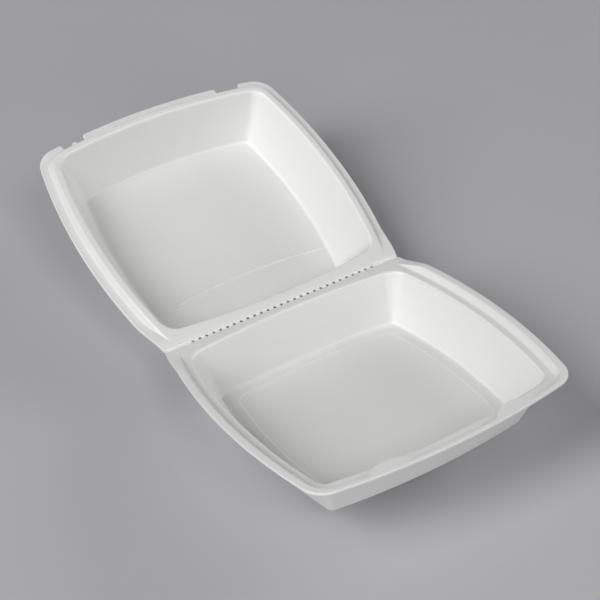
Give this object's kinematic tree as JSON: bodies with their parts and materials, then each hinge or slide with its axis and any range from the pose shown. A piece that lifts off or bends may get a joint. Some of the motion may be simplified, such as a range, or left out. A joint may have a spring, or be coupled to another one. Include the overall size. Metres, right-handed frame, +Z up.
{
  "type": "foam clamshell container",
  "caption": "Square foam food container with a hinged lid: deep drafted base and lid with bowed sides, stepped rims that nest, a perforated fold line and a front flap held by locking ears.",
  "frame": {"origin": "on the table plane, midway between the front edge of the base and the free edge of the lid, on the container's centre plane", "axes": "+X along the fold line, +Y from the base's front edge towards the lid, +Z up from the table"},
  "size_m": [0.2132, 0.3984, 0.0809],
  "materials": {
    "foam": "matte"
  },
  "bodies": {
    "base": {"base_tray": "foam"},
    "cover": {"lid": "foam"}
  },
  "joints": [
    {"name": "lid_hinge", "type": "hinge", "parent": "base", "child": "cover", "pos_m": [0, 0.00128, 0.03273], "axis": [1, 0, 0], "range_deg": [-24.6, 155.4]}
  ]
}
